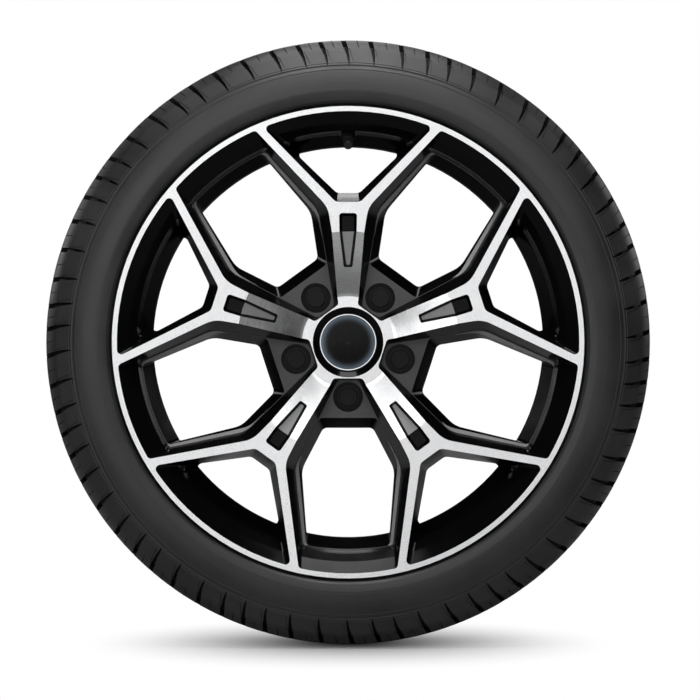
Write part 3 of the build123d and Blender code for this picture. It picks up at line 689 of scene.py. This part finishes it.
@dataclass
class Tyre:
    """The tyre: its solid, with narrow groove ends, fine sipes and wear bars, in matt rubber, with
    painted shade in its grooves and cuts.
    """

    node: str = "tyre"
    piece: str = "tyre_moulding"
    slot: str = "tyre_rubber"
    rubber: Finish = TyreRubber("tyre_rubber")
    # Painted shade: near-black rubber colour inside the grooves and on the walls of the cuts, where
    # shade falls
    groove: Finish = TyreRubber(
        "groove_painted_shade",
        dark=(0.0015, 0.0015, 0.0015),
        light=(0.004, 0.004, 0.004),
        mirror=0.08,
    )
    pitches: tuple[float, ...] = (0.86, 0.86, 1.0, 1.14, 1.14, 1.0, 0.86, 1.0, 1.14, 1.0)
    repeats: int = 7
    groove_end: float = 298.5 * MM
    groove_past: float = 326.2 * MM
    groove_lean: float = 8.6 * MM
    groove_line: tuple[Station, ...] = (
        Station(288.2, 1.1, 0.9, 106.4),
        Station(293.0, 0.7, 2.3, 102.8),
        Station(298.5, -0.2, 3.2, 99.2),
        Station(308.0, -2.95, 4.6, 90.7),
        Station(326.2, -8.6, 5.0, 82.0),
    )
    tail_top: float = 118.0
    shoulder: float = 57.0 * MM
    sipe_width: float = 0.7 * MM
    shoulder_sipe: tuple[tuple[float, float], ...] = (
        (312.6, 57.0),
        (311.8, 76.0),
        (308.0, 87.5),
        (305.5, 94.5),
        (307.5, 99.0),
        (318.0, 99.0),
        (326.0, 84.0),
        (326.0, 57.0),
    )
    tip_sipe: tuple[tuple[float, float], ...] = (
        (305.0, 96.0),
        (292.0, 104.4),
        (293.0, 110.0),
        (309.0, 104.0),
    )
    tip_sipe_step: float = 3.4 * MM
    rib_sipes: tuple[tuple[float, float], ...] = ((22.0, 36.0), (34.0, 48.0), (3.5, 14.0))
    rib_sipe_lean: float = 7.0 * MM
    rib_sipe_floor: float = 313.2 * MM
    bar_places: tuple[float, ...] = (18.0, 52.0)
    bar_floors: tuple[float, ...] = (310.82, 309.51)
    bar_count: int = 6
    bar_shift: float = 0.35
    bar_height: float = 1.6 * MM
    bar_length: float = 9.0 * MM
    bar_width: float = 9.4 * MM
    inset: float = 0.04
    reach: float = 0.02 * MM
    weld: float = 0.002 * MM
    wall_turn: float = 0.5
    wall_side: float = 0.7
    same_way: float = 0.9

    @cached_property
    def angles(self) -> list[float]:
        """Angle of each shoulder groove in radians, from 0 to a full turn.

        Returns:
            One angle more than there are grooves.
        """
        pitches = self.pitches * self.repeats
        total = sum(pitches)
        angles = [0.0]
        for pitch in pitches:
            angles.append(angles[-1] + FULL_TURN * pitch / total)
        return angles

    @staticmethod
    def spot(point: Spot, angle: float, flipped: bool) -> Vector:
        """Place of a point drawn at the top of the street half.

        Args:
            point: sideways step, radius and distance towards the street.
            angle: turn about the spin axis.
            flipped: True for the car-side half, which is the street half turned round.

        Returns:
            The point in the row's frame.
        """
        step, radius, place = point
        across = step * math.cos(angle) - radius * math.sin(angle)
        up = step * math.sin(angle) + radius * math.cos(angle)
        if flipped:
            return Vector((across, place, -up))
        return Vector((across, -place, up))

    def leaning(self, outline: Iterable[tuple[float, float]], step: float) -> list[Spot]:
        """Outline of a shoulder sipe that leans as the grooves do.

        Args:
            outline: radius and place of each corner in millimetres.
            step: sideways step of the sipe from the groove's line.

        Returns:
            The corners as spots.
        """
        slope = self.groove_lean / (self.groove_past - self.groove_end)
        return [(step - slope * (r * MM - self.groove_end), r * MM, z * MM) for r, z in outline]

    def rib(self, low: float, high: float) -> list[Spot]:
        """Outline of a slanted sipe across a rib of the tread.

        Args:
            low: place of its end nearer to the middle in millimetres.
            high: place of its other end in millimetres.

        Returns:
            The corners as spots.
        """
        half = self.rib_sipe_lean / 2
        floor, top = self.rib_sipe_floor, self.groove_past
        near, far = low * MM, high * MM
        return [(-half, floor, near), (half, floor, far), (half, top, far), (-half, top, near)]

    def blade(
        self, mesh: bmesh.types.BMesh, outline: list[Spot], width: float, angle: float, flipped: bool
    ) -> None:
        """Add one thin prism.

        Args:
            mesh: mesh to add to.
            outline: flat outline of its middle.
            width: thickness.
            angle: turn about the spin axis.
            flipped: True on the car-side half.
        """
        corners = [self.spot(point, angle, flipped) for point in outline]
        normal = (corners[1] - corners[0]).cross(corners[2] - corners[1]).normalized() * (width / 2)
        front = [mesh.verts.new(corner + normal) for corner in corners]
        back = [mesh.verts.new(corner - normal) for corner in corners]
        mesh.faces.new(front)
        mesh.faces.new(list(reversed(back)))
        for k, corner in enumerate(front):
            after = (k + 1) % len(front)
            mesh.faces.new((corner, back[k], back[after], front[after]))

    def blades(self) -> bmesh.types.BMesh:
        """All sipes as thin prisms.

        Returns:
            The prisms in one mesh.
        """
        mesh = bmesh.new()
        shoulder = self.leaning(self.shoulder_sipe, 0.0)
        tip = self.leaning(self.tip_sipe, self.tip_sipe_step)
        ribs = [self.rib(*span) for span in self.rib_sipes]
        for start, end in zip(self.angles, self.angles[1:]):
            half = (start + end) / 2
            quarter = (start + half) / 2
            for flipped in (False, True):
                self.blade(mesh, shoulder, self.sipe_width, half, flipped)
                self.blade(mesh, tip, self.sipe_width, start, flipped)
                for outline, angle in zip(ribs, (start, half, quarter)):
                    self.blade(mesh, outline, self.sipe_width, angle, flipped)
        return mesh

    def tail(self, mesh: bmesh.types.BMesh, angle: float, flipped: bool) -> None:
        """Add one prism that follows a groove's line to its narrow inner end.

        Args:
            mesh: mesh to add to.
            angle: turn about the spin axis.
            flipped: True on the car-side half.
        """
        rows = []
        for station in self.groove_line[:-1]:
            left, right = station.step - station.width / 2, station.step + station.width / 2
            corners = (
                (left, station.floor),
                (right, station.floor),
                (right, self.tail_top),
                (left, self.tail_top),
            )
            points = [(step * MM, station.radius * MM, place * MM) for step, place in corners]
            rows.append([mesh.verts.new(self.spot(point, angle, flipped)) for point in points])
        mesh.faces.new(rows[0])
        mesh.faces.new(reversed(rows[-1]))
        for row, after in zip(rows, rows[1:]):
            for k, corner in enumerate(row):
                following = (k + 1) % len(row)
                mesh.faces.new((corner, after[k], after[following], row[following]))

    def tails(self) -> bmesh.types.BMesh:
        """Narrow inner ends of all the shoulder grooves.

        Returns:
            The prisms in one mesh.
        """
        mesh = bmesh.new()
        for angle in self.angles[1:]:
            for flipped in (False, True):
                self.tail(mesh, angle, flipped)
        return mesh

    def bars(self) -> bmesh.types.BMesh:
        """Wear bars across the main grooves.

        Returns:
            The bars in one mesh.
        """
        mesh = bmesh.new()
        half = self.bar_width / 2
        for number in range(self.bar_count):
            angle = FULL_TURN * (number + self.bar_shift) / self.bar_count
            for place, floor in zip(self.bar_places, self.bar_floors):
                low, high = place * MM - half, place * MM + half
                bottom, top = floor * MM - self.bar_height, floor * MM + self.bar_height
                outline = [(0.0, bottom, low), (0.0, bottom, high), (0.0, top, high), (0.0, top, low)]
                for flipped in (False, True):
                    self.blade(mesh, outline, self.bar_length, angle, flipped)
        return mesh

    def tool(self, name: str, made: bmesh.types.BMesh) -> bpy.types.Object:
        """Object that a cut or join takes its shape from.

        Args:
            name: name of the object.
            made: its mesh, which is freed.

        Returns:
            The object, linked to the scene.
        """
        bmesh.ops.recalc_face_normals(made, faces=made.faces)
        mesh = bpy.data.meshes.new(name)
        made.to_mesh(mesh)
        made.free()
        tool = bpy.data.objects.new(name, mesh)
        bpy.context.scene.collection.objects.link(tool)
        return tool

    def in_groove(self, centre: Vector, normal: Vector) -> bool:
        """Tell whether a mesh face lies in a shoulder groove or is the wall of a cut.

        Args:
            centre: middle of the mesh face.
            normal: its outward direction.

        Returns:
            True inside a groove.
        """
        radius = math.hypot(centre.x, centre.z)
        round_about = Vector((-centre.z, 0.0, centre.x)) / radius
        if abs(normal.dot(round_about)) > self.wall_turn:
            return True
        if abs(centre.y) < self.shoulder:
            return radius > self.groove_end and abs(normal.y) > self.wall_side
        up = centre.z if centre.y < 0 else -centre.z
        turn = math.atan2(-centre.x, up) % FULL_TURN
        for low, high in zip(self.groove_line, self.groove_line[1:]):
            share = (radius / MM - low.radius) / (high.radius - low.radius)
            if 0.0 <= share < 1.0:
                step = (low.step + (high.step - low.step) * share) * MM
                half = (low.width + (high.width - low.width) * share) / 2 * MM
                return min(abs(radius * (turn - angle) + step) for angle in self.angles) < half
        return False

    def shade(self, mesh: bpy.types.Mesh) -> None:
        """Give the finished tyre its solid's own smooth shading, with flat walls in the cuts.

        Args:
            mesh: the finished tyre.
        """
        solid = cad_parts[self.node].data
        corners = [vertex.co for vertex in solid.vertices]
        tree = BVHTree.FromPolygons(corners, [polygon.vertices for polygon in solid.polygons])
        shading = [Vector()] * len(mesh.loops)
        for polygon in mesh.polygons:
            for loop in polygon.loop_indices:
                corner = mesh.vertices[mesh.loops[loop].vertex_index].co
                spot, _, index, gap = tree.find_nearest(corner.lerp(polygon.center, self.inset))
                under = solid.polygons[index]
                shading[loop] = polygon.normal
                if gap < self.reach and under.normal.dot(polygon.normal) > self.same_way:
                    shares = poly_3d_calc([corners[k] for k in under.vertices], spot)
                    parts = zip(shares, under.loop_indices)
                    shading[loop] = sum((solid.corner_normals[k].vector * v for v, k in parts), Vector())
        mesh.shade_smooth()
        mesh.normals_split_custom_set([normal.normalized() for normal in shading])

    def moulding(self) -> bpy.types.Object:
        """Cut groove ends and sipes into a copy of the tyre's solid and join the wear bars to it.

        Returns:
            The finished tyre.
        """
        work = bpy.data.objects.new("tyre_work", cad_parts[self.node].data.copy())
        bpy.context.scene.collection.objects.link(work)
        tails = self.tool("tail_tool", self.tails())
        sipes = self.tool("sipe_tool", self.blades())
        bars = self.tool("bar_tool", self.bars())
        work.modifiers.new("weld", "WELD").merge_threshold = self.weld
        for tool, operation in ((tails, "DIFFERENCE"), (sipes, "DIFFERENCE"), (bars, "UNION")):
            step = work.modifiers.new(tool.name, "BOOLEAN")
            step.object = tool
            step.operation = operation
            step.solver = "MANIFOLD"
        ready = work.evaluated_get(bpy.context.evaluated_depsgraph_get())
        mesh = bpy.data.meshes.new_from_object(ready)
        mesh.name = self.piece
        for used in (work, tails, sipes, bars):
            bpy.data.objects.remove(used)
        self.shade(mesh)
        mesh.materials.clear()
        for finish in (self.rubber, self.groove):
            mesh.materials.append(finish.material())
        # Faces in the grooves and on cut walls get the painted shade
        for polygon in mesh.polygons:
            polygon.material_index = int(self.in_groove(polygon.center, polygon.normal))
        piece = bpy.data.objects.new(self.piece, mesh)
        bpy.context.scene.collection.objects.link(piece)
        return piece

    def dress(self) -> None:
        """Put the finished tyre in its solid's place."""
        piece = self.moulding()
        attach(piece, WHEEL_BODY)
        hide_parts(self.node)
        log.info("%s: %d faces", self.piece, len(piece.data.polygons))


@dataclass
class CentreCap:
    """Clip-in cap in the middle of the hub."""

    body: Finish = Moulded("cap_plastic")
    dome: Finish = DomeFace("cap_dome")
    trim: Finish = Metal("trim_plating")
    wire: Finish = SPRING_WIRE

    def dress(self) -> None:
        """Put each finish on."""
        put_on("centre_cap_body", self.body)
        put_on("centre_cap_dome", self.dome)
        put_on("centre_cap_ring", self.trim)
        put_on("centre_cap_spring", self.wire)


@dataclass
class NutSet:
    """Nuts in their pockets, each under a round cover."""

    count: int = 5
    steel: Finish = Metal(
        "nut_plating",
        dark=(0.02, 0.02, 0.021),
        light=(0.035, 0.035, 0.036),
        smooth=0.28,
        rough=0.42,
    )
    cover: Finish = Moulded(
        "cover_plastic",
        dark=(0.006, 0.006, 0.006),
        light=(0.011, 0.011, 0.011),
        mirror=0.12,
    )

    def dress(self) -> None:
        """Put each finish on."""
        for number in range(1, self.count + 1):
            put_on(f"lug_nut_{number}", self.steel)
            put_on(f"nut_cover_{number}", self.cover)


@dataclass
class TyreValve:
    """Snap-in valve in the rim."""

    rubber: Finish = Moulded("valve_rubber", smooth=0.5, rough=0.7, mirror=0.25)
    seal: Finish = Moulded("seal_rubber", smooth=0.55, rough=0.75, mirror=0.25)
    brass: Finish = Metal(
        "valve_brass",
        dark=(0.52, 0.36, 0.13),
        light=(0.70, 0.52, 0.24),
        smooth=0.2,
        rough=0.34,
    )
    cap: Finish = Moulded("valve_cap_plastic")
    wire: Finish = SPRING_WIRE

    def dress(self) -> None:
        """Put each finish on."""
        put_on("valve_body", self.rubber)
        put_on("valve_cap", self.cap)
        for node in ("valve_stem", "valve_core_body", "valve_core_pin"):
            put_on(node, self.brass)
        for node in ("valve_core_seal", "valve_pin_seal", "valve_cap_seal"):
            put_on(node, self.seal)
        put_on("valve_core_spring", self.wire)


@dataclass(frozen=True)
class Lamp:
    """A softbox."""

    name: str
    place: Spot
    size: tuple[float, float]
    watts: float
    aim: Spot = (0.0, 0.0, 0.0)

    def light(self) -> None:
        """Hang the softbox and turn it to what it lights."""
        data = bpy.data.lights.new(self.name, "AREA")
        data.shape = "RECTANGLE"
        data.size, data.size_y = self.size
        data.energy = self.watts
        lamp = bpy.data.objects.new(self.name, data)
        lamp.location = self.place
        lamp.rotation_mode = "QUATERNION"
        lamp.rotation_quaternion = (Vector(self.aim) - Vector(self.place)).to_track_quat("-Z", "Y")
        lamp.visible_camera = False
        bpy.context.scene.collection.objects.link(lamp)


@dataclass
class Studio:
    """Pale floor, soft surroundings, softboxes and the camera."""

    floor_place: float = -318.8 * MM
    floor_reach: float = 14.0
    shadow_width: float = 0.29
    shadow_depth: float = 0.42
    shadow_heart: float = 0.0
    # Floor colour seen only inside the painted shadow ellipse
    floor_colour: Colour = (0.40, 0.40, 0.40)
    floor_rough: float = 0.9
    dim: float = 0.004
    bright: float = 0.02
    bright_side: Spot = (-0.35, -0.55, 0.76)
    dim_end: float = -0.25
    bright_end: float = 0.95
    camera_place: Spot = (2.0 * MM, -4612.0 * MM, -8.1 * MM)
    lens: float = 223.2
    sensor: float = 36.0
    sight: float = 100.0
    lamps: list[Lamp] = field(
        default_factory=lambda: [
            Lamp("front", (0.0, -5.4, 0.1), (3.0, 3.0), 36.0),
            Lamp("left", (-1.35, -2.6, -0.1), (1.0, 1.4), 20.0),
            Lamp("upper", (0.0, -2.65, 1.35), (2.6, 0.8), 25.0),
            Lamp("top", (0.0, -0.62, 1.3), (0.7, 0.6), 14.0),
            Lamp("overhead", (0.0, 0.15, 1.2), (0.8, 0.6), 6.0),
            Lamp("back", (0.0, 1.6, 1.2), (0.3, 1.0), 2.5),
            Lamp("rear_left", (-2.6, 2.1, 0.9), (1.2, 1.2), 12.0),
            Lamp("rear_right", (2.6, 2.1, 0.9), (1.2, 1.2), 12.0),
        ]
    )

    def floor(self) -> None:
        """Lay the floor: near the tyre it shows its darker lit colour with the lamps' real shadow inside
        a painted shadow ellipse, and it is plain white further off.
        """
        mesh = bpy.data.meshes.new("floor")
        reach = self.floor_reach
        corners = [(-reach, -reach), (reach, -reach), (reach, reach), (-reach, reach)]
        mesh.from_pydata([(x, y, self.floor_place) for x, y in corners], [], [(0, 1, 2, 3)])
        floor = bpy.data.objects.new("floor", mesh)
        bpy.context.scene.collection.objects.link(floor)
        material = bpy.data.materials.new("floor_white")
        nodes = Nodes(material)
        nodes.set(Base_Color=self.floor_colour, Roughness=self.floor_rough, Specular_IOR_Level=0.0)
        x, y, _ = nodes.axes()
        # Painted shadow: inside this ellipse the camera sees the darker floor colour, fading to the
        # white glow at its border
        across = nodes.math("DIVIDE", x, self.shadow_width)
        along = nodes.math("DIVIDE", y, self.shadow_depth)
        across_square = nodes.math("MULTIPLY", across, across)
        along_square = nodes.math("MULTIPLY", along, along)
        away = nodes.math("SQRT", nodes.math("ADD", across_square, along_square))
        share = nodes.spread(away, 0.0, 1.0, self.shadow_heart, 1.0)
        path = nodes.tree.nodes.new("ShaderNodeLightPath")
        glow = nodes.tree.nodes.new("ShaderNodeEmission")
        mix = nodes.tree.nodes.new("ShaderNodeMixShader")
        output = next(n for n in nodes.tree.nodes if n.type == "OUTPUT_MATERIAL")
        nodes.feed(mix.inputs[0], nodes.math("MULTIPLY", share, path.outputs["Is Camera Ray"]))
        nodes.feed(mix.inputs[1], nodes.shader.outputs[0])
        nodes.feed(mix.inputs[2], glow.outputs[0])
        nodes.feed(output.inputs["Surface"], mix.outputs[0])
        mesh.materials.append(material)

    def surroundings(self) -> None:
        """White behind the object, and faint light on it from the upper left."""
        world = bpy.data.worlds.new("studio")
        world.use_nodes = True
        bpy.context.scene.world = world
        tree = world.node_tree
        tree.nodes.clear()
        towards = tree.nodes.new("ShaderNodeVectorMath")
        towards.operation = "DOT_PRODUCT"
        tree.links.new(tree.nodes.new("ShaderNodeTexCoord").outputs["Generated"], towards.inputs[0])
        towards.inputs[1].default_value = Vector(self.bright_side).normalized()
        fall = tree.nodes.new("ShaderNodeMapRange")
        fall.interpolation_type = "SMOOTHSTEP"
        limits = (self.dim_end, self.bright_end, self.dim, self.bright)
        for name, value in zip(("From Min", "From Max", "To Min", "To Max"), limits):
            fall.inputs[name].default_value = value
        tree.links.new(towards.outputs["Value"], fall.inputs["Value"])
        soft = tree.nodes.new("ShaderNodeBackground")
        tree.links.new(fall.outputs[0], soft.inputs["Strength"])
        white = tree.nodes.new("ShaderNodeBackground")
        for shade in (soft, white):
            shade.inputs["Color"].default_value = (1.0, 1.0, 1.0, 1.0)
        mix = tree.nodes.new("ShaderNodeMixShader")
        path = tree.nodes.new("ShaderNodeLightPath")
        tree.links.new(path.outputs["Is Camera Ray"], mix.inputs[0])
        tree.links.new(soft.outputs[0], mix.inputs[1])
        tree.links.new(white.outputs[0], mix.inputs[2])
        output = tree.nodes.new("ShaderNodeOutputWorld")
        tree.links.new(mix.outputs[0], output.inputs["Surface"])

    def camera(self) -> None:
        """Stand the camera straight in front of the wheel's face."""
        data = bpy.data.cameras.new("camera")
        data.lens = self.lens
        data.sensor_width = self.sensor
        data.clip_end = self.sight
        camera = bpy.data.objects.new("camera", data)
        camera.location = self.camera_place
        camera.rotation_euler = (math.pi / 2, 0.0, 0.0)
        bpy.context.scene.collection.objects.link(camera)
        bpy.context.scene.camera = camera

    def build(self) -> None:
        """Set the whole studio up."""
        self.floor()
        self.surroundings()
        for lamp in self.lamps:
            lamp.light()
        self.camera()
        bpy.context.scene.view_settings.view_transform = "Standard"
        log.info("studio: %d softboxes", len(self.lamps))


def main() -> None:
    """Dress every sub-assembly and set the studio up around it."""
    logging.basicConfig(level=logging.INFO, format="%(name)s: %(message)s")
    for part in (AlloyWheel(), Tyre(), CentreCap(), NutSet(), TyreValve()):
        part.dress()
    Studio().build()


if __name__ == "__main__":
    main()
